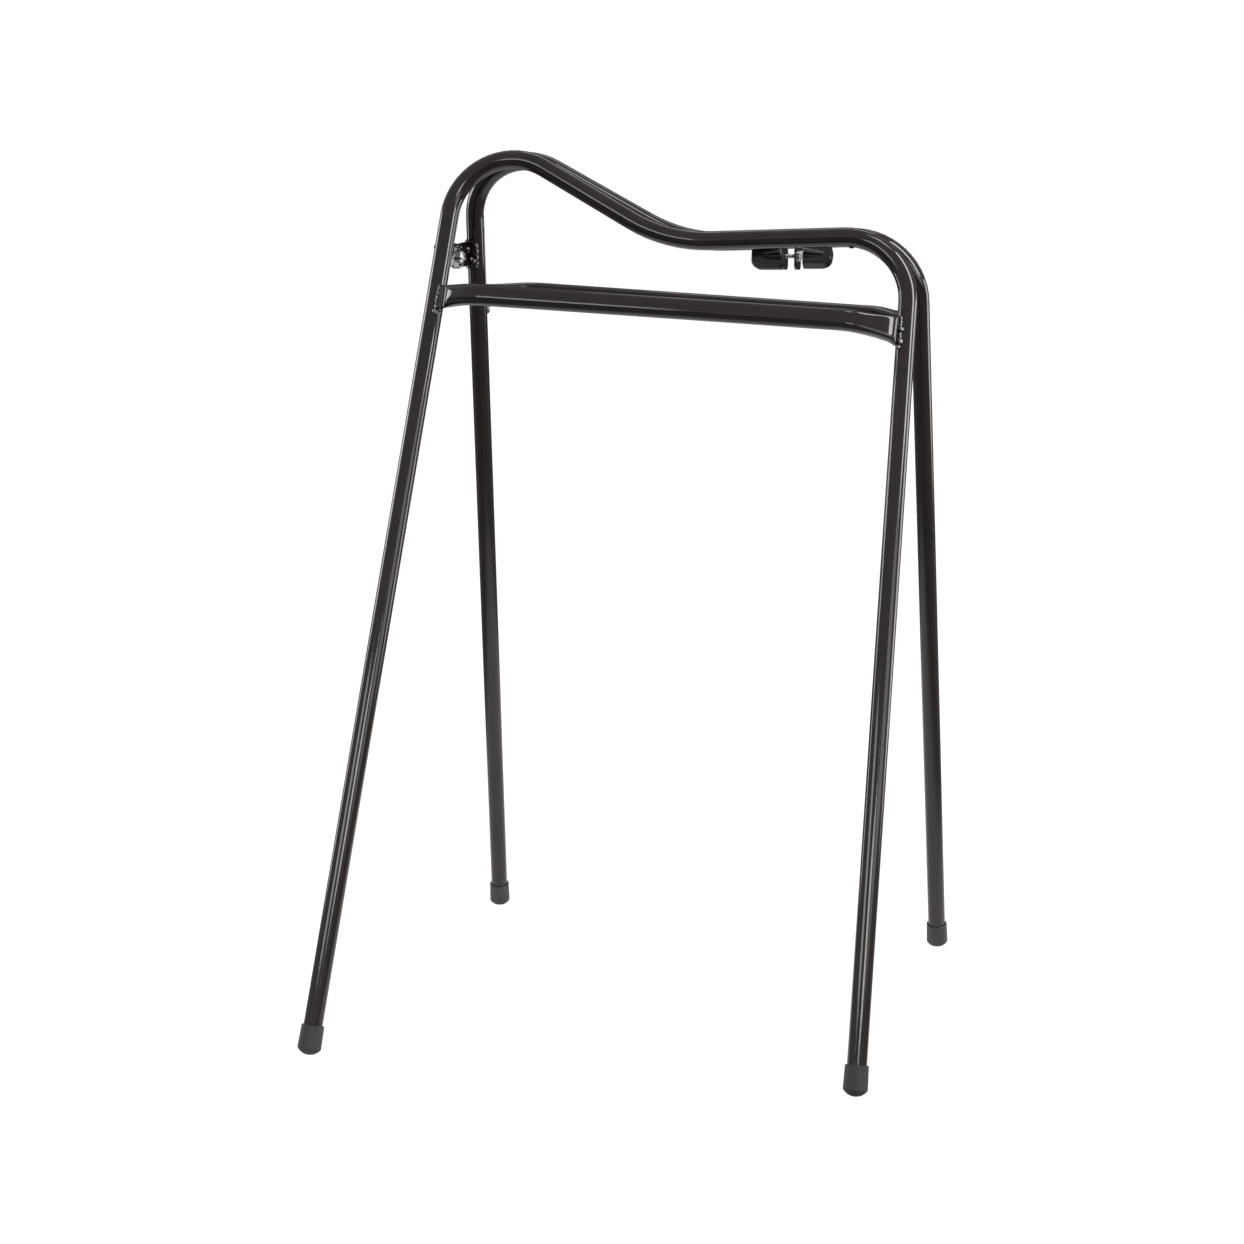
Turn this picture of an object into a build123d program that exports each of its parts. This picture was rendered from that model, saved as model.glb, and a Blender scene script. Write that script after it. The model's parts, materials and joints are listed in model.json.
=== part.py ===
"""Folding saddle rack.

Two frames of bent round tube lean on each other like the sides of an A. Each frame is one tube: a leg,
a high crown, a slope down to a low rail and a second leg. A crossbar with flattened ends ties the legs
of each frame. The frames turn about one axis that runs along x just under the rails: a pivot bolt
through two brackets at the crown end, and a clamp screw with two plastic grips under the low rail.

Axes: x runs along the hinge from the crown end to the low end, the front frame stands at negative y,
z is up and the floor is z = 0. The rear pieces are mirror images of the front ones.
"""
import os
from math import asin, cos, degrees, radians, sin, sqrt, tan

from build123d import *

os.makedirs("parts", exist_ok=True)

# Tube of the frames
tube_diameter = 19.0
tube_wall = 1.5

# Outline of a frame, in its own plane: across from the middle of the foot line, and up the slope
left_foot_x = -269.0
right_foot_x = 269.0
rail_height = 823.8
valley_x = 40.0
crown_x = -180.5
crown_rise = 129.7
end_x = 284.0
end_rise = 6.4
crown_bend_radius = 64.0
valley_bend_radius = 155.0
end_bend_radius = 65.0

# How the frames stand: lean from the vertical, angle to the hinge in plan, rail from the middle plane
lean_angle = 16.83
skew_angle = 3.32
rail_offset = 35.5

# Crossbar: oval tube, bowed outwards, with flattened ends on the legs' inner front
bar_width = 21.9
bar_depth = 17.0
bar_wall = 1.5
bar_left_drop = 61.0
bar_right_drop = 92.3
bar_bow = 34.0
bar_reach = 46.0
bar_bend_radius = 40.0
bar_end_across = 5.6
bar_end_out = 7.5
tab_width = 29.0
tab_length = 7.5
tab_slit = 0.4
taper_length = 26.0
taper_steps = 5

# Rubber foot caps
cap_height = 28.5
cap_rim_radius = 11.3
cap_base_radius = 11.8
cap_rim_chamfer = 0.6
cap_dome_radius = 14.0
cap_flat_radius = 6.0
cap_floor = 6.5

# Hinge axis and what all its fittings share
hinge_drop = 17.0
ear_thickness = 2.5
washer_thickness = 1.0
face_gap = 0.05
running_gap = 0.05
seat_gap = 0.05

# Crown end: brackets that hug the legs, and the pivot bolt
pommel_ear_shift = -3.4
pommel_ear_radius = 12.5
pommel_ear_rise = 4.4
saddle_thickness = 2.5
saddle_length = 30.0
saddle_start = 2.0
saddle_left = 9.0
saddle_right = 3.0
pivot_diameter = 6.0
pivot_head_diameter = 12.2
pivot_head_height = 5.2
pivot_head_round = 3.2
pivot_socket_across = 4.0
pivot_socket_depth = 2.0
pivot_nut_across = 10.0
pivot_nut_height = 5.0
pivot_tip = 1.5
pivot_washer_diameter = 13.0

# Low end: plates under the rails, and the clamp screw
clamp_x = 137.1
clamp_ear_gap = 10.6
clamp_ear_half_width = 11.0
clamp_ear_above = 9.0
clamp_ear_below = 13.5
clamp_ear_corner = 6.0
clamp_arm_radius = 6.0
screw_diameter = 4.0
screw_head_across = 7.0
screw_head_height = 2.8
screw_tip_chamfer = 0.6
clamp_washer_diameter = 11.0

# Plastic grips and the threaded insert of the nut grip
screw_grip_length = 31.0
nut_grip_length = 28.5
grip_width = 26.5
grip_thickness = 10.0
grip_outer_corner = 9.5
grip_inner_corner = 2.0
grip_edge_round = 1.4
grip_rim = 3.0
panel_depth = 0.6
panel_corner = 4.0
hub_inner_radius = 8.8
hub_outer_radius = 4.0
hub_length = 24.0
screw_grip_turn = 8.0
nut_grip_turn = 42.0
insert_collar_diameter = 9.6
insert_collar_length = 4.6
insert_shank_diameter = 8.4
insert_shank_length = 14.0
screw_overrun = 2.0
blind_bore_extra = 3.0
blind_bore_gap = 0.2

tube_radius = tube_diameter / 2
seat_radius = tube_radius + seat_gap

# The plane of the front frame: its x is level, its y runs up the slope, its z faces outwards
lean = radians(lean_angle)
skew = radians(skew_angle)
rail_z = rail_height * cos(lean)
foot_offset = rail_offset + rail_z * tan(lean) / cos(skew)
frame_plane = Plane(
    origin=(0, -foot_offset, 0),
    x_dir=(cos(skew), sin(skew), 0),
    z_dir=(sin(skew) * cos(lean), -cos(skew) * cos(lean), sin(lean)),
)

# Corners of the centre line in that plane, and the directions of the two legs
left_foot = Vector(left_foot_x, 0)
right_foot = Vector(right_foot_x, 0)
crown = Vector(crown_x, rail_height + crown_rise)
valley = Vector(valley_x, rail_height)
rail_end = Vector(end_x, rail_height + end_rise)
left_run = (crown - left_foot).normalized()
right_run = (rail_end - right_foot).normalized()


def in_plane(point):
    """The two coordinates of a point in the plane that is being drawn on."""
    return (point.X, point.Y)


def on_frame(point):
    """World position of a point given in the plane of the front frame."""
    return frame_plane.from_local_coords(point)


def along_frame(direction):
    """World direction of a direction given in the plane of the front frame."""
    return (on_frame(direction) - on_frame(Vector(0, 0))).normalized()


def leg_at(foot, run, height):
    """Point on a leg's centre line at a height measured up the slope."""
    return foot + run * (height / run.Y)


def rail_at(x):
    """World position on the low rail's centre line at a given x."""
    start = on_frame(valley)
    finish = on_frame(rail_end)
    return start + (finish - start) * ((x - start.X) / (finish.X - start.X))


def save(piece, name):
    """Label a finished piece and write it out."""
    piece.label = name
    export_step(piece, f"parts/{name}.step")


def mirrored(piece):
    """The rear frame's twin of a front piece."""
    with BuildPart() as twin:
        mirror(piece, about=Plane.XZ)
    return twin.part


# Hinge axis: along x in the middle plane, below the low rail
clamp_middle_x = clamp_x + ear_thickness + clamp_ear_gap / 2
axis_z = rail_at(clamp_middle_x).Z - hinge_drop

# Frame tubes: one bent tube each, from cap to cap
with BuildLine(frame_plane) as centre_line:
    left_end = left_foot + left_run * cap_floor
    right_end = right_foot + right_run * cap_floor
    corners = (left_end, crown, valley, rail_end, right_end)
    FilletPolyline(
        *(in_plane(corner) for corner in corners),
        radius=[crown_bend_radius, valley_bend_radius, end_bend_radius],
    )
with BuildSketch(Plane(origin=centre_line.line @ 0, z_dir=centre_line.line % 0)) as tube_section:
    Circle(tube_radius)
    Circle(tube_radius - tube_wall, mode=Mode.SUBTRACT)
with BuildPart() as front_frame_tube:
    sweep(sections=tube_section.sketch, path=centre_line.line)
save(front_frame_tube.part, "front_frame_tube")
save(mirrored(front_frame_tube.part), "rear_frame_tube")

# Crossbar: its plane holds the line between its two seats, and its y faces outwards
left_seat = leg_at(left_foot, left_run, rail_height - bar_left_drop)
right_seat = leg_at(right_foot, right_run, rail_height - bar_right_drop)
bar_line = right_seat - left_seat
half_bar = bar_line.length / 2
bar_plane = Plane(
    origin=on_frame((left_seat + right_seat) / 2),
    x_dir=along_frame(bar_line),
    z_dir=along_frame(Vector(bar_line.Y, -bar_line.X)),
)
bar_end = Vector(half_bar - bar_end_across, bar_end_out)
bar_corner = bar_end + Vector(-bar_reach, bar_bow - bar_end_out)
bar_run_in = (bar_corner - bar_end).normalized()
tab_root = bar_end + bar_run_in * tab_length
taper_end = tab_root + bar_run_in * taper_length


def flipped(point):
    """The same place at the bar's other end."""
    return Vector(-point.X, point.Y)


def across_bar(point, run):
    """Plane across the bar at a point of its plane, with its x down the slope."""
    start = bar_plane.from_local_coords(point)
    ahead = bar_plane.from_local_coords(point + run)
    return Plane(origin=start, x_dir=bar_plane.z_dir, z_dir=ahead - start)


def bar_body(inset, tab_thickness):
    """The bar's outside (inset 0) or its hollow: an oval run, two flat tabs, and tapers that leave the tabs
    at a crease and swell ever more gently to the oval."""
    oval = (bar_width - 2 * inset, bar_depth - 2 * inset)
    flat = (tab_width - 2 * inset, tab_thickness)
    with BuildLine(bar_plane) as run_line:
        corners = (flipped(taper_end), flipped(bar_corner), bar_corner, taper_end)
        FilletPolyline(*(in_plane(corner) for corner in corners), radius=bar_bend_radius)
    with BuildSketch(across_bar(flipped(taper_end), flipped(bar_run_in))) as run_section:
        SlotOverall(*oval)
    with BuildPart() as body:
        sweep(sections=run_section.sketch, path=run_line.line)
        for place in (lambda point: point, flipped):
            rings = []
            for step in range(taper_steps + 1):
                share = step / taper_steps
                swell = 1 - (1 - share) ** 2
                ring_at = tab_root + bar_run_in * (taper_length * share)
                with BuildSketch(across_bar(place(ring_at), place(bar_run_in))) as ring:
                    SlotOverall(*(start + (end - start) * swell for start, end in zip(flat, oval)))
                rings.append(ring.sketch)
            loft(sections=rings)
            extrude(rings[0], amount=-tab_length)
    return body.part


bar_skin = bar_body(0, 2 * bar_wall + tab_slit)
bar_hollow = bar_body(bar_wall, tab_slit)
with BuildPart() as front_crossbar:
    add(bar_skin)
    add(bar_hollow, mode=Mode.SUBTRACT)
    for seat, run in ((left_seat, left_run), (right_seat, right_run)):
        with BuildSketch(Plane(origin=on_frame(seat), z_dir=along_frame(run))):
            Circle(seat_radius)
        extrude(amount=2 * tab_width, both=True, mode=Mode.SUBTRACT)
save(front_crossbar.part, "front_crossbar")
save(mirrored(front_crossbar.part), "rear_crossbar")


def foot_cap(foot, run):
    """Rubber cap: a tapered sleeve with a domed bottom, cut flat where it stands on the floor."""
    leg_axis = along_frame(run)
    dome_centre = sqrt(cap_dome_radius**2 - cap_flat_radius**2) / leg_axis.Z
    section_plane = Plane(
        origin=on_frame(foot),
        x_dir=frame_plane.z_dir,
        z_dir=frame_plane.z_dir.cross(leg_axis),
    )
    with BuildPart() as cap:
        with BuildSketch(section_plane):
            with BuildLine():
                dome = CenterArc(
                    (0, dome_centre), cap_dome_radius, -90, degrees(asin(cap_base_radius / cap_dome_radius))
                )
                Polyline(
                    dome @ 1,
                    (cap_rim_radius, cap_height - cap_rim_chamfer),
                    (cap_rim_radius - cap_rim_chamfer, cap_height),
                    (seat_radius, cap_height),
                    (seat_radius, cap_floor),
                    (0, cap_floor),
                    dome @ 0,
                )
            make_face()
        revolve(axis=Axis(on_frame(foot), leg_axis))
        split(bisect_by=Plane.XY, keep=Keep.TOP)
    return cap.part


for side, foot, run in (("left", left_foot, left_run), ("right", right_foot, right_run)):
    cap = foot_cap(foot, run)
    save(cap, f"foot_cap_front_{side}")
    save(mirrored(cap), f"foot_cap_rear_{side}")

# Crown end of the hinge: places along x, from the bolt's head to its tip
pommel_leg = on_frame(leg_at(left_foot, left_run, (axis_z + pommel_ear_rise) / cos(lean)))
pommel_front_x = pommel_leg.X + pommel_ear_shift
pommel_rear_x = pommel_front_x - ear_thickness - washer_thickness - 2 * face_gap
pivot_head_x = pommel_front_x + ear_thickness + face_gap
inner_washer_x = pommel_front_x - face_gap - washer_thickness
outer_washer_x = pommel_rear_x - face_gap - washer_thickness
pivot_nut_x = outer_washer_x - face_gap - pivot_nut_height
pivot_tip_x = pivot_nut_x - pivot_tip
pivot_radius = pivot_diameter / 2


def pommel_ear(start_x):
    """Bracket on the left leg: a saddle that hugs the tube, and a round-ended tongue down to the axis."""
    saddle_plane = Plane(origin=pommel_leg, x_dir=-frame_plane.z_dir, z_dir=along_frame(left_run))
    saddle_radius = seat_radius + saddle_thickness
    with BuildPart() as ear:
        with BuildSketch(Plane.YZ.offset(start_x)):
            with Locations((0, axis_z)):
                Circle(pommel_ear_radius)
            with Locations((pommel_leg.Y, pommel_leg.Z)):
                Circle(pommel_ear_radius)
            make_hull()
        extrude(amount=ear_thickness)
        with BuildSketch(saddle_plane):
            Circle(saddle_radius)
            with Locations((saddle_start, -saddle_right)):
                Rectangle(
                    saddle_radius,
                    saddle_left + saddle_right,
                    align=(Align.MIN, Align.MIN),
                    mode=Mode.INTERSECT,
                )
        extrude(amount=saddle_length / 2, both=True)
        with BuildSketch(saddle_plane):
            Circle(seat_radius)
        extrude(amount=saddle_length, both=True, mode=Mode.SUBTRACT)
        with BuildSketch(saddle_plane):
            with Locations((saddle_start, 0)):
                Rectangle(2 * saddle_radius, 4 * saddle_radius, align=(Align.MAX, Align.CENTER))
        extrude(amount=saddle_length, both=True, mode=Mode.SUBTRACT)
        with BuildSketch(Plane.YZ.offset(start_x)):
            with Locations((0, axis_z)):
                Circle(pivot_radius + running_gap)
        extrude(amount=ear_thickness, mode=Mode.SUBTRACT)
    return ear.part


def axis_ring(start_x, length, outer_radius, bore_radius):
    """A washer or collar on the hinge axis."""
    with BuildPart() as ring:
        with BuildSketch(Plane.YZ.offset(start_x)):
            with Locations((0, axis_z)):
                Circle(outer_radius)
                Circle(bore_radius, mode=Mode.SUBTRACT)
        extrude(amount=length)
    return ring.part


def hexagon_radius(across_flats):
    """Corner radius of a hexagon from its width across flats."""
    return across_flats / 2 / cos(radians(30))


save(pommel_ear(pommel_front_x), "pommel_front_ear")
save(mirrored(pommel_ear(pommel_rear_x)), "pommel_rear_ear")

with BuildPart() as pommel_pivot_bolt:
    with BuildSketch(Plane.YZ.offset(pivot_head_x)):
        with Locations((0, axis_z)):
            Circle(pivot_head_diameter / 2)
    extrude(amount=pivot_head_height)
    fillet(pommel_pivot_bolt.faces().sort_by(Axis.X)[-1].edges(), radius=pivot_head_round)
    with BuildSketch(Plane.YZ.offset(pivot_head_x + pivot_head_height - pivot_socket_depth)):
        with Locations((0, axis_z)):
            RegularPolygon(hexagon_radius(pivot_socket_across), 6)
    extrude(amount=pivot_socket_depth, mode=Mode.SUBTRACT)
    with BuildSketch(Plane.YZ.offset(pivot_tip_x)):
        with Locations((0, axis_z)):
            Circle(pivot_radius)
    extrude(amount=pivot_head_x - pivot_tip_x)
save(pommel_pivot_bolt.part, "pommel_pivot_bolt")

with BuildPart() as pommel_pivot_nut:
    with BuildSketch(Plane.YZ.offset(pivot_nut_x)):
        with Locations((0, axis_z)):
            RegularPolygon(hexagon_radius(pivot_nut_across), 6)
            Circle(pivot_radius + running_gap, mode=Mode.SUBTRACT)
    extrude(amount=pivot_nut_height)
save(pommel_pivot_nut.part, "pommel_pivot_nut")

with BuildPart() as pommel_pivot_washers:
    for washer_x in (inner_washer_x, outer_washer_x):
        add(axis_ring(washer_x, washer_thickness, pivot_washer_diameter / 2, pivot_radius + running_gap))
save(pommel_pivot_washers.part, "pommel_pivot_washers")

# Low end of the hinge: places along x, from the screw grip to the nut grip
clamp_rear_x = clamp_x + ear_thickness + clamp_ear_gap
front_washer_x = clamp_x - face_gap - washer_thickness
screw_grip_x = front_washer_x - face_gap
rear_washer_x = clamp_rear_x + ear_thickness + face_gap
insert_x = rear_washer_x + washer_thickness + face_gap
nut_grip_x = insert_x + insert_collar_length
insert_end_x = nut_grip_x + insert_shank_length
screw_head_x = screw_grip_x - screw_grip_length
screw_tip_x = insert_end_x + screw_overrun
screw_head_turn = 30 - screw_grip_turn
screw_radius = screw_diameter / 2
screw_bore_radius = screw_radius + running_gap
blind_bore_radius = screw_radius + blind_bore_gap


def clamp_ear(start_x):
    """Plate on the low rail: an arm from the tube's back to a round-cornered plate about the axis."""
    rail = rail_at(start_x + ear_thickness / 2)
    plate_height = clamp_ear_above + clamp_ear_below
    plate_middle = axis_z + (clamp_ear_above - clamp_ear_below) / 2
    arm_end = (clamp_arm_radius - clamp_ear_half_width, axis_z + clamp_ear_above - clamp_arm_radius)
    with BuildPart() as ear:
        with BuildSketch(Plane.YZ.offset(start_x)):
            with Locations((rail.Y, rail.Z)):
                Circle(clamp_arm_radius)
            with Locations(arm_end):
                Circle(clamp_arm_radius)
            make_hull()
            with Locations((0, plate_middle)):
                RectangleRounded(2 * clamp_ear_half_width, plate_height, clamp_ear_corner)
            with Locations((0, axis_z)):
                Circle(screw_bore_radius, mode=Mode.SUBTRACT)
        extrude(amount=ear_thickness)
        with BuildSketch(Plane(origin=rail, z_dir=along_frame(rail_end - valley))):
            Circle(seat_radius)
        extrude(amount=2 * ear_thickness, both=True, mode=Mode.SUBTRACT)
    return ear.part


def grip(inner_x, outwards, length, turn):
    """Plastic wing on the hinge axis: a rounded blade along x with sunk panels, and a cone for its hub."""
    blade_plane = Plane(
        origin=(inner_x, 0, axis_z),
        x_dir=(outwards, 0, 0),
        z_dir=(0, -cos(radians(turn)), sin(radians(turn))),
    )
    with BuildPart() as paddle:
        with BuildSketch(blade_plane):
            with Locations((length / 2, 0)):
                outline = Rectangle(length, grip_width)
            inner_corners, outer_corners = outline.vertices().group_by(Axis.X)
            fillet(outer_corners, radius=grip_outer_corner)
            fillet(inner_corners, radius=grip_inner_corner)
        extrude(amount=grip_thickness / 2, both=True)
        fillet(paddle.edges(), radius=grip_edge_round)
        for face_side in (1, -1):
            with BuildSketch(blade_plane.offset(face_side * (grip_thickness / 2 - panel_depth))):
                with Locations((length / 2, 0)):
                    RectangleRounded(length - 2 * grip_rim, grip_width - 2 * grip_rim, panel_corner)
            extrude(amount=face_side * panel_depth, mode=Mode.SUBTRACT)
        hub_start = Plane(origin=(inner_x, 0, axis_z), z_dir=(outwards, 0, 0))
        with BuildSketch(hub_start):
            Circle(hub_inner_radius)
        with BuildSketch(hub_start.offset(hub_length)):
            Circle(hub_outer_radius)
        loft()
    return paddle.part


def bore(start_x, length, radius):
    """A round rod on the hinge axis, used to cut bores."""
    with BuildPart() as rod:
        with BuildSketch(Plane.YZ.offset(start_x)):
            with Locations((0, axis_z)):
                Circle(radius)
        extrude(amount=length)
    return rod.part


save(clamp_ear(clamp_x), "clamp_front_ear")
save(mirrored(clamp_ear(clamp_rear_x)), "clamp_rear_ear")

with BuildPart() as clamp_bolt:
    with BuildSketch(Plane.YZ.offset(screw_head_x)):
        with Locations((0, axis_z)):
            RegularPolygon(hexagon_radius(screw_head_across), 6, rotation=screw_head_turn)
    extrude(amount=screw_head_height)
    with BuildSketch(Plane.YZ.offset(screw_head_x + screw_head_height)):
        with Locations((0, axis_z)):
            Circle(screw_radius)
    extrude(amount=screw_tip_x - screw_head_x - screw_head_height)
    chamfer(clamp_bolt.faces().sort_by(Axis.X)[-1].edges(), length=screw_tip_chamfer)
save(clamp_bolt.part, "clamp_bolt")

with BuildPart() as clamp_screw_grip:
    add(grip(screw_grip_x, -1, screw_grip_length, screw_grip_turn))
    add(bore(screw_head_x, screw_grip_length, screw_radius + seat_gap), mode=Mode.SUBTRACT)
    with BuildSketch(Plane.YZ.offset(screw_head_x)):
        with Locations((0, axis_z)):
            RegularPolygon(hexagon_radius(screw_head_across) + seat_gap, 6, rotation=screw_head_turn)
    extrude(amount=screw_head_height, mode=Mode.SUBTRACT)
save(clamp_screw_grip.part, "clamp_screw_grip")

for name, start_x in (("clamp_front_washer", front_washer_x), ("clamp_rear_washer", rear_washer_x)):
    save(axis_ring(start_x, washer_thickness, clamp_washer_diameter / 2, screw_bore_radius), name)

with BuildPart() as clamp_nut_insert:
    add(axis_ring(insert_x, insert_collar_length, insert_collar_diameter / 2, screw_bore_radius))
    add(axis_ring(nut_grip_x, insert_shank_length, insert_shank_diameter / 2, screw_bore_radius))
save(clamp_nut_insert.part, "clamp_nut_insert")

with BuildPart() as clamp_nut_grip:
    add(grip(nut_grip_x, 1, nut_grip_length, nut_grip_turn))
    add(bore(nut_grip_x, insert_shank_length, insert_shank_diameter / 2 + seat_gap), mode=Mode.SUBTRACT)
    add(bore(insert_end_x, screw_overrun + blind_bore_extra, blind_bore_radius), mode=Mode.SUBTRACT)
save(clamp_nut_grip.part, "clamp_nut_grip")
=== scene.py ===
"""Looks of the folding saddle rack: paint, plating, rubber and plastic, weld beads and a screw thread."""
import json

import bpy
import numpy as np
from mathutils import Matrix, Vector


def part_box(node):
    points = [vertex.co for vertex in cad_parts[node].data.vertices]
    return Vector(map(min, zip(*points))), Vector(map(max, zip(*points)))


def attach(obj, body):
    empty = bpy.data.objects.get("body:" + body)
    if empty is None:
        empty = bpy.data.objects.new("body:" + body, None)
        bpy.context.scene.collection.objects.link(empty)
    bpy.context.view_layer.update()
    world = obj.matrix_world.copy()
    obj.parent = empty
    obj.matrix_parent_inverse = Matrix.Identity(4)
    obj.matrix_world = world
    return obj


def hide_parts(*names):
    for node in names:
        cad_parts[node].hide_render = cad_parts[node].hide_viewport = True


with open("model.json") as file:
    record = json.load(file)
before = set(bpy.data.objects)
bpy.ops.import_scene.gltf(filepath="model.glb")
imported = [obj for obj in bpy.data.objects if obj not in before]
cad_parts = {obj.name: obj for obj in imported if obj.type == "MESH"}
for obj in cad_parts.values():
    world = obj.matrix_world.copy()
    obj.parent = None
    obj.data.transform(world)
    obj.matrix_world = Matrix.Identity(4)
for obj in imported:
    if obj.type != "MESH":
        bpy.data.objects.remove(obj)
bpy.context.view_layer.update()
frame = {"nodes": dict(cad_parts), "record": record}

# The rack's own sizes, in metres, as the solids have them
LEAN = np.radians(16.83)
SKEW = np.radians(3.32)
RAIL_HEIGHT = 0.8238
RAIL_OFFSET = 0.0355
CROWN_RISE = 0.1297
END_RISE = 0.0064
TUBE_RADIUS = 0.0095
LEFT_FOOT = np.array([-0.269, 0.0])
RIGHT_FOOT = np.array([0.269, 0.0])
CROWN = np.array([-0.1805, RAIL_HEIGHT + CROWN_RISE])
RAIL_END = np.array([0.284, RAIL_HEIGHT + END_RISE])
BAR_LEFT_DROP = 0.0610
BAR_RIGHT_DROP = 0.0923
BAR_END_ACROSS = 0.0056
BAR_END_OUT = 0.0075
BAR_BOW = 0.034
BAR_REACH = 0.046
BAR_BEND = 0.040
BAR_HALF_WIDTH = 0.01095
BAR_HALF_DEPTH = 0.0085
TAB_HALF_WIDTH = 0.0145
TAB_HALF_THICKNESS = 0.0017
AXIS_Z = 0.7745035
POMMEL_RISE = 0.0044
FLANGE_RIGHT = 0.003
FLANGE_LENGTH = 0.030
FLANGE_THICKNESS = 0.0025
SCREW_RADIUS = 0.0020

# Ends of a crossbar, pinched flat by hand, so that the left and the right one differ: the flat and the pinched
# length, the swell of the upper and the lower edge, their lift, the flare of the lower corner, how much slimmer
# the oval is there, and how sharp its edges are
ENDS = {
    "left": {"flat": 0.0115, "pinch": 0.0190, "upper": 0.0036, "lower": 0.0009, "lift": 0.0012,
             "flare": 0.0, "slim": 0.0, "sharp": 0.0},
    "right": {"flat": 0.0015, "pinch": 0.0175, "upper": 0.0036, "lower": 0.0036, "lift": 0.0,
              "flare": 0.0030, "slim": 0.0012, "sharp": 0.60},
}
SWELL_REACH = 0.036
LIFT_REACH = 0.055
FLARE_REACH = 0.010
SLIM_REACH = 0.060
SHARP_REACH = 0.050
TAB_CORNER = 0.003

# Weld beads: least size and ripple as shares of the radius, the tip's share squared, then sizes of each kind
BEAD_LEAST = 0.88
BEAD_RIPPLE = 0.22
BEAD_TIP = 0.02
BAR_BEAD_RADIUS = 0.0015
BAR_BEAD_RIPPLES = 6
FLANGE_BEAD_RADIUS = 0.0021
FLANGE_BEAD_RIPPLES = 4
FLANGE_BEAD_SHARE = 0.46
FLANGE_BEAD_OUT = 0.0008
TAB_SEARCH = 0.030
WELD_PROUD = 0.0002

# Drops of weld metal at a crossbar's ends: way up the end, which is -1 to 1 over the plate, face of the plate,
# which is 1 on the outer one and -1 on the inner one, and radii
WELD_DROPS = {
    "left": ((-0.95, 1.0, (0.0032, 0.0029)), (-1.02, -0.9, (0.0036, 0.0034)), (-0.10, 1.2, (0.0036, 0.0018))),
    "right": ((0.05, 1.6, (0.0034, 0.0033)), (-0.80, 1.4, (0.0036, 0.0030)), (-1.15, 0.0, (0.0030, 0.0026))),
}
WELD_DROP_LUMP = 0.14
# Drops of weld metal on the rear bracket's flange: way up the leg, way across it, radii
FLANGE_DROPS = ((0.0060, -0.0045, (0.0036, 0.0022)), (-0.0036, -0.0012, (0.0024, 0.0020)),
                (-0.0058, 0.0022, (0.0023, 0.0019)))
FLANGE_DROP_LUMP = 0.16
# Runs of paint down the rear leg above that bracket: way up the leg, radii
LEG_RUNS = ((0.0397, (0.0026, 0.0012)), (0.0262, (0.0052, 0.0012)))
LEG_RUN_SUNK = 0.0003
LEG_RUN_LUMP = 0.05
# Drop on the front leg's far side above the hinge axis, and run of paint under the front rail
LEG_DROP_RISE = 0.009
LEG_DROP_RADII = (0.0022, 0.0016)
RAIL_RUN_PLACE = np.array([0.225, 0.8186])
RAIL_RUN_RADII = (0.0032, 0.0019)
SMALL_LUMP = 0.1

# Thread of the clamp screw
THREAD_PITCH = 0.0007
THREAD_DEPTH = 0.00018
THREAD_PROUD = 0.00002
THREAD_GAP = 0.0003


def unit(vector):
    """The vector divided by its own length."""
    return vector / np.linalg.norm(vector)


# Plane of the front frame: level, up the slope, outwards, and the middle of the line between its feet
PLANE_X = np.array([np.cos(SKEW), np.sin(SKEW), 0.0])
PLANE_Y = np.array([-np.sin(LEAN) * np.sin(SKEW), np.sin(LEAN) * np.cos(SKEW), np.cos(LEAN)])
PLANE_OUT = np.cross(PLANE_X, PLANE_Y)
PLANE_ORIGIN = np.array([0.0, -(RAIL_OFFSET + RAIL_HEIGHT * np.sin(LEAN) / np.cos(SKEW)), 0.0])
LEFT_RUN = unit(CROWN - LEFT_FOOT)
RIGHT_RUN = unit(RAIL_END - RIGHT_FOOT)
# The rear frame is the front one's mirror image
MIRROR = np.array([1.0, -1.0, 1.0])
PLACES = {"front": np.ones(3), "rear": MIRROR}


def on_frame(point, out=0.0):
    """World place of a point of the front frame's plane, a distance out of it."""
    return PLANE_ORIGIN + PLANE_X * point[0] + PLANE_Y * point[1] + PLANE_OUT * out


def along_frame(direction):
    """World direction of a direction in the front frame's plane."""
    return unit(PLANE_X * direction[0] + PLANE_Y * direction[1])


def leg_at(foot, run, height):
    """Point of a leg's centre line at a height up the slope."""
    return foot + run * (height / run[1])


def facing(grid):
    """The grid with its columns run the other way where its faces would point inwards."""
    across = np.cross(grid[1, 1] - grid[1, 0], grid[2, 0] - grid[1, 0])
    outwards = grid[1, 0] - grid[1].mean(0)
    return grid if np.dot(across, outwards) > 0 else grid[:, ::-1]


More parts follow.
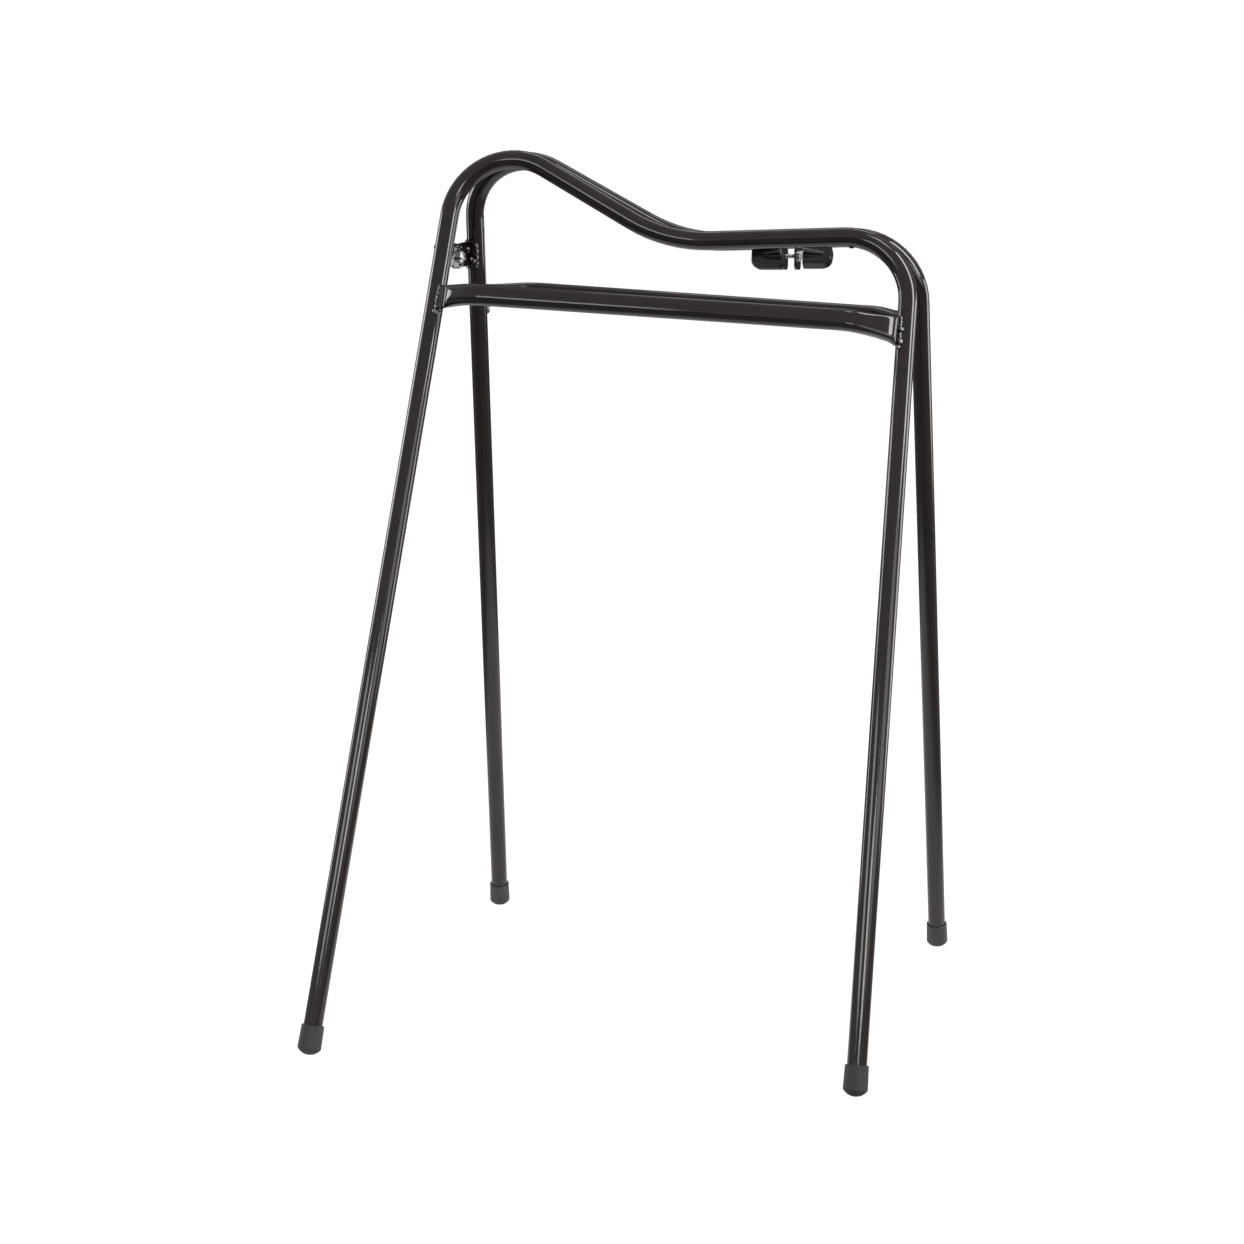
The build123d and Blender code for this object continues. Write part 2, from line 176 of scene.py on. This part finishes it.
def grid_mesh(name, grid, body, finish):
    """Mesh of a grid of points, rows along the path and columns round it, that faces outwards. Each end row
    is fanned to its middle."""
    grid = facing(grid)
    rows, columns, _ = grid.shape
    middles = np.stack([grid[0].mean(0), grid[-1].mean(0)])
    points = np.concatenate([grid.reshape(-1, 3), middles])
    row, column = np.meshgrid(np.arange(rows - 1), np.arange(columns), indexing="ij")
    ahead = (column + 1) % columns
    quads = np.stack([row * columns + column, row * columns + ahead,
                      (row + 1) * columns + ahead, (row + 1) * columns + column], -1).reshape(-1, 4)
    around = np.arange(columns)
    after = (around + 1) % columns
    first = np.stack([after, around, np.full(columns, rows * columns)], -1)
    last_row = (rows - 1) * columns
    last = np.stack([last_row + around, last_row + after, np.full(columns, rows * columns + 1)], -1)
    mesh = bpy.data.meshes.new(name)
    mesh.from_pydata(points.tolist(), [], quads.tolist() + first.tolist() + last.tolist())
    mesh.shade_smooth()
    mesh.materials.append(finish)
    piece = bpy.data.objects.new(name, mesh)
    bpy.context.scene.collection.objects.link(piece)
    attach(piece, body)
    return piece


def painted(name, grid, place, finish):
    """A painted piece of the front or the rear frame."""
    return grid_mesh(name, grid, f"{place}_frame", finish)


def square_to(direction):
    """Two unit vectors square to a direction and to each other."""
    helper = np.array([0.0, 0.0, 1.0]) if abs(direction[2]) < 0.8 else np.array([1.0, 0.0, 0.0])
    first = unit(np.cross(direction, helper))
    return first, np.cross(direction, first)


def bead_grid(start, finish, radius, ripples, rows=72, columns=20):
    """Weld bead: circles along a line. Their radius is the bead's, times the root of one less the sixth power
    of the way from the middle, which ends at the tip's share, times the least share plus the ripple share of
    the absolute sine of the ripple count along the way."""
    way = np.linspace(0.0, 1.0, rows)
    taper = np.sqrt(np.clip(1.0 - np.abs(2.0 * way - 1.0) ** 6, BEAD_TIP, 1.0))
    size = radius * taper * (BEAD_LEAST + BEAD_RIPPLE * np.abs(np.sin(np.pi * ripples * way)))
    angle = np.linspace(0.0, 2.0 * np.pi, columns, endpoint=False)
    first, second = square_to(unit(finish - start))
    circle = np.cos(angle)[:, None] * first + np.sin(angle)[:, None] * second
    line = start + way[:, None] * (finish - start)
    return line[:, None, :] + size[:, None, None] * circle[None]


def drop_grid(centre, axis, radii, lump, rows=26, columns=28, pole=0.04):
    """Drop of weld metal or paint: an ellipsoid on an axis, its radius scaled by one plus a lump times the
    sine of three times the angle round it and the sine of twice the angle down it. The angle down starts and
    stops short of the poles."""
    down = np.linspace(pole, np.pi - pole, rows)
    angle = np.linspace(0.0, 2.0 * np.pi, columns, endpoint=False)
    first, second = square_to(axis)
    swell = 1.0 + lump * np.sin(3.0 * angle)[None] * np.sin(2.0 * down)[:, None]
    level = radii[0] * np.cos(down)
    girth = radii[1] * np.sin(down)[:, None] * swell
    circle = np.cos(angle)[:, None] * first + np.sin(angle)[:, None] * second
    return centre + level[:, None, None] * axis + girth[:, :, None] * circle[None]


def thread_grid(start_x, length, rows=160, columns=40):
    """Screw thread on the hinge axis: the radius is the rod's plus the depth times a triangle wave of the way
    along less the angle round, and the depth fades over half a pitch at each end."""
    way = np.linspace(0.0, length, rows)
    angle = np.linspace(0.0, 2.0 * np.pi, columns, endpoint=False)
    phase = way[:, None] / THREAD_PITCH - angle[None] / (2.0 * np.pi)
    crest = np.abs(2.0 * (phase - np.floor(phase)) - 1.0)
    fade = np.clip(np.minimum(way, length - way) / (0.5 * THREAD_PITCH), 0.0, 1.0)[:, None]
    radius = SCREW_RADIUS + THREAD_PROUD + THREAD_DEPTH * crest * fade
    return np.stack([np.broadcast_to(start_x + way[:, None], radius.shape),
                     radius * np.cos(angle)[None],
                     AXIS_Z + radius * np.sin(angle)[None]], -1)


def material(name, tones, roughness, grain, tone_scale, metal=0.0, stretch=(1.0, 1.0, 1.0), shine=0.5,
             index=1.5):
    """Finish with a mottled tone, an uneven gloss and a fine bump, each from its own noise on Object
    coordinates. The grain is the bump's scale and depth."""
    finish = bpy.data.materials.new(name)
    finish.use_nodes = True
    nodes = finish.node_tree.nodes
    links = finish.node_tree.links
    shader = nodes["Principled BSDF"]
    shader.inputs["Metallic"].default_value = metal
    shader.inputs["Specular IOR Level"].default_value = shine
    shader.inputs["IOR"].default_value = index
    place = nodes.new("ShaderNodeTexCoord")
    mapping = nodes.new("ShaderNodeMapping")
    mapping.inputs["Scale"].default_value = stretch
    links.new(place.outputs["Object"], mapping.inputs["Vector"])

    def noise(scale, detail):
        """Noise on the stretched coordinates."""
        texture = nodes.new("ShaderNodeTexNoise")
        texture.inputs["Scale"].default_value = scale
        texture.inputs["Detail"].default_value = detail
        links.new(mapping.outputs["Vector"], texture.inputs["Vector"])
        return texture.outputs["Fac"]

    ramp = nodes.new("ShaderNodeValToRGB")
    ramp.color_ramp.elements[0].position = 0.32
    ramp.color_ramp.elements[1].position = 0.68
    for element, tone in zip(ramp.color_ramp.elements, tones):
        element.color = (*tone, 1.0)
    links.new(noise(tone_scale, detail=4.0), ramp.inputs["Fac"])
    links.new(ramp.outputs["Color"], shader.inputs["Base Color"])
    gloss = nodes.new("ShaderNodeMapRange")
    gloss.inputs["From Min"].default_value = 0.3
    gloss.inputs["From Max"].default_value = 0.7
    gloss.inputs["To Min"].default_value = roughness[0]
    gloss.inputs["To Max"].default_value = roughness[1]
    links.new(noise(4.0 * tone_scale, detail=3.0), gloss.inputs["Value"])
    links.new(gloss.outputs["Result"], shader.inputs["Roughness"])
    bump = nodes.new("ShaderNodeBump")
    bump.inputs["Strength"].default_value = 0.35
    bump.inputs["Distance"].default_value = grain[1]
    links.new(noise(grain[0], detail=2.0), bump.inputs["Height"])
    links.new(bump.outputs["Normal"], shader.inputs["Normal"])
    return finish


# Black enamel. Brackets are painted thick over hand-worked plate, and paint pools on the welds
BLACK = ((0.0064, 0.0034, 0.0024), (0.0120, 0.0070, 0.0054))
enamel = material("black_enamel", BLACK, roughness=(0.05, 0.11), grain=(420.0, 0.00004), tone_scale=30.0)
uneven = material("uneven_enamel", BLACK, roughness=(0.04, 0.10), grain=(110.0, 0.0012), tone_scale=30.0)
pooled = material("pooled_enamel", BLACK, roughness=(0.03, 0.06), grain=(330.0, 0.0003), tone_scale=30.0,
                  shine=0.9, index=1.8)

# Zinc plate: bright on bolts, dull on the pivot's nut and washers, pale and matt on the turned collar
ZINC = {"grain": (900.0, 0.00006), "tone_scale": 160.0, "metal": 1.0}
zinc = material("zinc_plate", ((0.46, 0.46, 0.47), (0.74, 0.74, 0.74)), roughness=(0.18, 0.36), **ZINC)
dull = material("dull_zinc", ((0.14, 0.14, 0.14), (0.24, 0.24, 0.24)), roughness=(0.32, 0.46), **ZINC)
turned = material("turned_zinc", ((0.80, 0.80, 0.80), (0.92, 0.92, 0.92)), roughness=(0.60, 0.70), **ZINC)

# Plastic of the grips, and rubber of the feet with its mottling drawn out upwards
plastic = material("moulded_plastic", ((0.0030, 0.0030, 0.0034), (0.0065, 0.0065, 0.0072)),
                   roughness=(0.05, 0.10), grain=(1500.0, 0.00004), tone_scale=90.0, shine=0.40)
rubber = material("foot_rubber", ((0.0120, 0.0118, 0.0115), (0.0260, 0.0255, 0.0250)),
                  roughness=(0.48, 0.66), grain=(700.0, 0.0002), tone_scale=70.0, stretch=(1.0, 1.0, 0.25))

FINISHES = {"black_enamel": enamel, "zinc_steel": zinc, "black_plastic": plastic, "black_rubber": rubber}
OWN_FINISHES = {"pommel_front_ear": uneven, "pommel_rear_ear": uneven, "pommel_pivot_nut": dull,
                "pommel_pivot_washers": dull, "clamp_nut_insert": turned}
for row in frame["record"]["subparts"]:
    node = frame["nodes"][row["node"]]
    node.data.materials.clear()
    node.data.materials.append(OWN_FINISHES.get(row["node"], FINISHES[row["material_slot"]]))

# Crossbars: the solids' own line, from the left leg's middle to the right one's
left_seat = leg_at(LEFT_FOOT, LEFT_RUN, RAIL_HEIGHT - BAR_LEFT_DROP)
right_seat = leg_at(RIGHT_FOOT, RIGHT_RUN, RAIL_HEIGHT - BAR_RIGHT_DROP)
bar_across = unit(right_seat - left_seat)
bar_middle = (left_seat + right_seat) / 2.0
HALF_BAR = np.linalg.norm(right_seat - left_seat) / 2.0
BAR_DOWN = np.array([bar_across[1], -bar_across[0]])
TURN = np.arctan2(BAR_BOW - BAR_END_OUT, BAR_REACH)
RUN_IN = np.hypot(BAR_REACH, BAR_BOW - BAR_END_OUT) - BAR_BEND * np.tan(TURN / 2.0)
BAR_RUN = 2.0 * (HALF_BAR - BAR_END_ACROSS - BAR_REACH - BAR_BEND * np.tan(TURN / 2.0))
BAR_LENGTH = 2.0 * RUN_IN + 2.0 * BAR_BEND * TURN + BAR_RUN


def bar_line(way):
    """Along the bar, out of the frame's plane, and heading at a length of way from its left end: the heading
    falls evenly from the run-in's angle to level over the first bend and to minus that angle over the second,
    and the place is the running sum of its cosine and sine."""
    first = np.clip((way - RUN_IN) / (BAR_BEND * TURN), 0.0, 1.0)
    second = np.clip((way - RUN_IN - BAR_BEND * TURN - BAR_RUN) / (BAR_BEND * TURN), 0.0, 1.0)
    heading = TURN * (1.0 - first - second)
    step = np.diff(way)
    mean = (heading[1:] + heading[:-1]) / 2.0
    along = np.concatenate([[0.0], np.cumsum(step * np.cos(mean))]) - (HALF_BAR - BAR_END_ACROSS)
    out = np.concatenate([[0.0], np.cumsum(step * np.sin(mean))]) + BAR_END_OUT
    return along, out, heading


def share_left(way, reach):
    """Share of a reach that is left at a length of way, from one to zero."""
    return np.clip(1.0 - way / reach, 0.0, 1.0)


def pinch(end, way):
    """Half thickness, edge bulge, upper half width and lower half width at a length of way from an end.
    Thickness goes from the plate's to the oval's by one less the cube of the share of the pinch that is left,
    and the oval is slimmer by the power 1.5 of the share of the slim reach that is left. The widths are the
    oval's plus the swell times the square of the share of its reach that is left, less a round at the corner.
    The lift is half a sine over its reach, and the flare is the power 1.5 of the share of its reach that is
    left. The bulge is the half thickness, less the sharp share of it up to half the sharp reach, fading out at
    one and a half times that reach."""
    left = share_left(way - end["flat"], end["pinch"])
    slim = end["slim"] * share_left(way, SLIM_REACH) ** 1.5
    half = TAB_HALF_THICKNESS + (BAR_HALF_DEPTH - slim - TAB_HALF_THICKNESS) * (1.0 - left**3)
    swell = share_left(way, SWELL_REACH) ** 2
    lift = end["lift"] * np.sin(np.pi * np.clip(way / LIFT_REACH, 0.0, 1.0))
    flare = end["flare"] * share_left(way, FLARE_REACH) ** 1.5
    to_corner = np.clip(TAB_CORNER - way, 0.0, None)
    inset = TAB_CORNER - np.sqrt(np.clip(TAB_CORNER**2 - to_corner**2, 0.0, None))
    bulge = half * (1.0 - end["sharp"] * np.clip(1.5 - way / SHARP_REACH, 0.0, 1.0))
    return (half, bulge, BAR_HALF_WIDTH + end["upper"] * swell + lift - inset,
            BAR_HALF_WIDTH + end["lower"] * swell - lift + flare - inset)


def bar_grid(rows=640, bend=15, flats=6):
    """Crossbar: a section with two straight sides and half-ellipse edges, carried square to the bar's line.
    Its thickness, its edges' bulge and its upper and lower widths come from the pinch of the nearer end."""
    way = np.linspace(0.0, BAR_LENGTH, rows)
    along, out, heading = bar_line(way)
    near = way < BAR_LENGTH / 2.0
    both = zip(pinch(ENDS["left"], way), pinch(ENDS["right"], BAR_LENGTH - way))
    half, bulge, upper, lower = (np.where(near, left, right)[:, None] for left, right in both)
    angle = np.linspace(-np.pi / 2.0, np.pi / 2.0, bend)
    share = np.linspace(1.0, 0.0, flats + 2)[1:-1]
    side = np.ones(flats)
    low = np.concatenate([np.ones(bend), share, np.zeros(bend), share[::-1]])
    edge = np.concatenate([np.cos(angle), 0.0 * side, -np.cos(angle), 0.0 * side])
    face = np.concatenate([np.sin(angle), side, np.sin(angle[::-1]), -side])
    downwards = low * (lower - bulge) - (1.0 - low) * (upper - bulge) + bulge * edge
    outwards = half * face
    along_all = along[:, None] - outwards * np.sin(heading)[:, None]
    out_all = out[:, None] + outwards * np.cos(heading)[:, None]
    flat = bar_middle + along_all[..., None] * bar_across + downwards[..., None] * BAR_DOWN
    return PLANE_ORIGIN + flat[..., :1] * PLANE_X + flat[..., 1:] * PLANE_Y + out_all[..., None] * PLANE_OUT


for place, mirror in PLACES.items():
    skin = painted(f"{place}_crossbar_skin", bar_grid() * mirror, place, enamel)
    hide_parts(f"{place}_crossbar")


def tab_contact(side, face):
    """Where a face of a flat end meets the leg's round: along the bar and out of the plane. Face runs from 1,
    the outer face, to -1. It is the first point of the face's line that is a tube's radius from the leg's
    middle."""
    way = np.linspace(0.0, TAB_SEARCH, 400)
    along, out, heading = bar_line(way)
    half = pinch(ENDS[side], way)[0] * face
    across = along - half * np.sin(heading) + HALF_BAR
    lift = out + half * np.cos(heading)
    gap = np.hypot(across, lift)
    first = np.argmax(gap > TUBE_RADIUS)
    inward = 1.0 if side == "left" else -1.0
    spot = np.array([across[first], lift[first]]) * (TUBE_RADIUS + WELD_PROUD) / gap[first]
    return inward * (spot[0] - HALF_BAR), spot[1]


def on_bar(along, out):
    """World place of a point along the bar and out of the frame's plane."""
    return on_frame(bar_middle + bar_across * along, out)


# Welds that join each crossbar's flat ends to the legs: a bead along each face of the plate, and drops
for side, run in (("left", LEFT_RUN), ("right", RIGHT_RUN)):
    reach = along_frame(run) * TAB_HALF_WIDTH
    for place, mirror in PLACES.items():
        for edge, face in (("outer", 1.0), ("inner", -1.0)):
            middle = on_bar(*tab_contact(side, face))
            bead = bead_grid((middle - reach) * mirror, (middle + reach) * mirror, BAR_BEAD_RADIUS,
                             BAR_BEAD_RIPPLES)
            painted(f"bar_weld_{place}_{side}_{edge}", bead, place, pooled)
        for number, (share, face, radii) in enumerate(WELD_DROPS[side], 1):
            spot = on_bar(*tab_contact(side, face)) + reach * share
            drop = drop_grid(spot * mirror, unit(reach) * mirror, radii, WELD_DROP_LUMP)
            painted(f"bar_weld_drop_{place}_{side}_{number}", drop, place, pooled)

# Thread of the clamp screw where it shows between the two plates
front_plate_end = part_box("clamp_front_ear")[1].x
rear_plate_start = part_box("clamp_rear_ear")[0].x
thread = thread_grid(front_plate_end + THREAD_GAP, rear_plate_start - front_plate_end - 2.0 * THREAD_GAP)
grid_mesh("clamp_screw_thread", thread, "clamp_screw", zinc)

# Welds of the crown brackets: a bead down one edge of each bracket's flange
pommel_leg = on_frame(leg_at(LEFT_FOOT, LEFT_RUN, (AXIS_Z + POMMEL_RISE) / np.cos(LEAN)))
leg_axis = along_frame(LEFT_RUN)
inwards = -PLANE_OUT
sidewards = np.cross(inwards, leg_axis)
sidewards = sidewards * np.sign(sidewards[0])
depth = np.sqrt(TUBE_RADIUS**2 - FLANGE_RIGHT**2)
flange_edge = pommel_leg + inwards * depth + sidewards * (FLANGE_RIGHT + FLANGE_BEAD_OUT)
reach = leg_axis * FLANGE_LENGTH * FLANGE_BEAD_SHARE
for place, mirror in PLACES.items():
    bead = bead_grid((flange_edge - reach) * mirror, (flange_edge + reach) * mirror, FLANGE_BEAD_RADIUS,
                     FLANGE_BEAD_RIPPLES)
    painted(f"pommel_weld_{place}", bead, place, pooled)

# Drops of weld metal on the rear bracket's flange, and runs of paint down the rear leg above it
for number, (up, across, radii) in enumerate(FLANGE_DROPS, 1):
    out = np.sqrt((TUBE_RADIUS + FLANGE_THICKNESS) ** 2 - across**2)
    spot = (pommel_leg + inwards * out + sidewards * across + leg_axis * up) * MIRROR
    drop = drop_grid(spot, leg_axis * MIRROR, radii, FLANGE_DROP_LUMP)
    painted(f"pommel_weld_drop_rear_{number}", drop, "rear", pooled)
for number, (up, radii) in enumerate(LEG_RUNS, 1):
    spot = (pommel_leg + leg_axis * up + sidewards * (TUBE_RADIUS - LEG_RUN_SUNK)) * MIRROR
    drop = drop_grid(spot, leg_axis * MIRROR, radii, LEG_RUN_LUMP)
    painted(f"leg_paint_run_{number}", drop, "rear", pooled)

# A drop on the front leg's far side, and a run of paint under the front rail
spot = pommel_leg - sidewards * TUBE_RADIUS + leg_axis * (LEG_DROP_RISE - POMMEL_RISE)
painted("pommel_weld_drop", drop_grid(spot, leg_axis, LEG_DROP_RADII, SMALL_LUMP), "front", pooled)
rail_run = drop_grid(on_frame(RAIL_RUN_PLACE), PLANE_X, RAIL_RUN_RADII, SMALL_LUMP)
painted("rail_paint_run", rail_run, "front", enamel)


def white_to_look_at(tree, value, span, levels):
    """Glow that is white to the camera. For all other light it goes smoothly from one level to another over a
    span of a value."""
    step = tree.nodes.new("ShaderNodeMapRange")
    step.interpolation_type = "SMOOTHSTEP"
    step.inputs["From Min"].default_value = span[0]
    step.inputs["From Max"].default_value = span[1]
    step.inputs["To Min"].default_value = levels[0]
    step.inputs["To Max"].default_value = levels[1]
    tree.links.new(value, step.inputs["Value"])
    path = tree.nodes.new("ShaderNodeLightPath")
    glow = tree.nodes.new("ShaderNodeMix")
    glow.inputs["B"].default_value = 1.0
    tree.links.new(path.outputs["Is Camera Ray"], glow.inputs["Factor"])
    tree.links.new(step.outputs["Result"], glow.inputs["A"])
    return glow.outputs["Result"]


# Floor: white to look at. What the paint mirrors of it is white near the rack and dim further off
FLOOR_REACH = 40.0
floor_corners = [(FLOOR_REACH * x, FLOOR_REACH * y, 0.0) for x, y in ((-1, -1), (1, -1), (1, 1), (-1, 1))]
floor_mesh = bpy.data.meshes.new("floor")
floor_mesh.from_pydata(floor_corners, [], [(0, 1, 2, 3)])
floor_paint = bpy.data.materials.new("pale_floor")
floor_paint.use_nodes = True
floor_tree = floor_paint.node_tree
floor_shader = floor_tree.nodes["Principled BSDF"]
floor_shader.inputs["Base Color"].default_value = (0.12, 0.12, 0.12, 1.0)
floor_shader.inputs["Roughness"].default_value = 0.9
floor_shader.inputs["Emission Color"].default_value = (1.0, 1.0, 1.0, 1.0)
spot_on_floor = floor_tree.nodes.new("ShaderNodeTexCoord")
patch = floor_tree.nodes.new("ShaderNodeMapping")
patch.vector_type = "TEXTURE"
patch.inputs["Location"].default_value = (-0.12, 0.55, 0.0)
patch.inputs["Scale"].default_value = (0.85, 1.10, 1.0)
falling = floor_tree.nodes.new("ShaderNodeTexGradient")
falling.gradient_type = "SPHERICAL"
floor_tree.links.new(spot_on_floor.outputs["Object"], patch.inputs["Vector"])
floor_tree.links.new(patch.outputs["Vector"], falling.inputs["Vector"])
floor_glow = white_to_look_at(floor_tree, falling.outputs["Fac"], span=(0.0, 0.38), levels=(0.09, 0.95))
floor_tree.links.new(floor_glow, floor_shader.inputs["Emission Strength"])
floor_mesh.materials.append(floor_paint)
floor = bpy.data.objects.new("floor", floor_mesh)
bpy.context.scene.collection.objects.link(floor)


def soft_light(name, place, target, size, glow):
    """A rectangular lamp that faces a point, with the same glow all over its face."""
    lamp = bpy.data.lights.new(name, "AREA")
    lamp.shape = "RECTANGLE"
    lamp.size, lamp.size_y = size
    lamp.energy = glow * np.pi * size[0] * size[1]
    holder = bpy.data.objects.new(name, lamp)
    holder.location = place
    holder.rotation_euler = (Vector(target) - Vector(place)).to_track_quat("-Z", "Y").to_euler()
    bpy.context.scene.collection.objects.link(holder)


# Soft lights round the rack, and a small one behind it that the crown brackets mirror
MIDDLE = (0.0, 0.0, 0.5)
HINGE = (-0.19, 0.0, 0.775)
soft_light("right_box", (1.73, -0.30, 1.82), MIDDLE, size=(0.60, 1.80), glow=11.0)
soft_light("right_low_box", (2.23, 1.13, 0.62), MIDDLE, size=(1.10, 1.15), glow=5.0)
soft_light("left_box", (-2.49, 0.16, 1.22), MIDDLE, size=(1.00, 0.80), glow=6.0)
soft_light("left_strip", (-2.50, 0.14, 0.50), MIDDLE, size=(0.30, 0.66), glow=8.0)
soft_light("top_box", (0.72, -0.70, 2.78), MIDDLE, size=(0.50, 0.55), glow=6.0)
soft_light("front_right_box", (2.30, -1.22, 0.95), MIDDLE, size=(1.60, 0.85), glow=2.0)
soft_light("front_left_box", (-1.09, -3.00, 1.20), MIDDLE, size=(1.25, 0.70), glow=4.5)
soft_light("front_box", (3.50, -7.20, 2.35), MIDDLE, size=(2.60, 1.05), glow=8.5)
soft_light("hinge_box", (0.15, 1.00, 0.715), HINGE, size=(0.16, 0.12), glow=2.2)
soft_light("back_top_box", (0.0, 1.20, 2.90), MIDDLE, size=(1.20, 0.80), glow=1.5)

# Room: a white backdrop to look at. The light that it gives is grey, and dark behind the rack
world = bpy.data.worlds.new("studio")
bpy.context.scene.world = world
world.use_nodes = True
room = world.node_tree
heading = room.nodes.new("ShaderNodeTexCoord")
split = room.nodes.new("ShaderNodeSeparateXYZ")
room.links.new(heading.outputs["Generated"], split.inputs["Vector"])
room_glow = white_to_look_at(room, split.outputs["Y"], span=(0.60, 0.95), levels=(0.58, 0.06))
room.links.new(room_glow, room.nodes["Background"].inputs["Strength"])
room.nodes["Background"].inputs["Color"].default_value = (1.0, 1.0, 1.0, 1.0)
bpy.context.scene.view_settings.view_transform = "Standard"

# Camera, fitted to the photograph's outlines
CAMERA_PLACE = (0.6394, -2.3402, 0.7631)
CAMERA_AHEAD = (-0.27245, 0.95058, -0.14886)
lens = bpy.data.cameras.new("camera")
lens.sensor_fit = "HORIZONTAL"
lens.sensor_width = 36.0
lens.lens = 68.12
lens.clip_end = 200.0
camera = bpy.data.objects.new("camera", lens)
camera.location = CAMERA_PLACE
camera.rotation_euler = Vector(CAMERA_AHEAD).to_track_quat("-Z", "Y").to_euler()
bpy.context.scene.collection.objects.link(camera)
bpy.context.scene.camera = camera
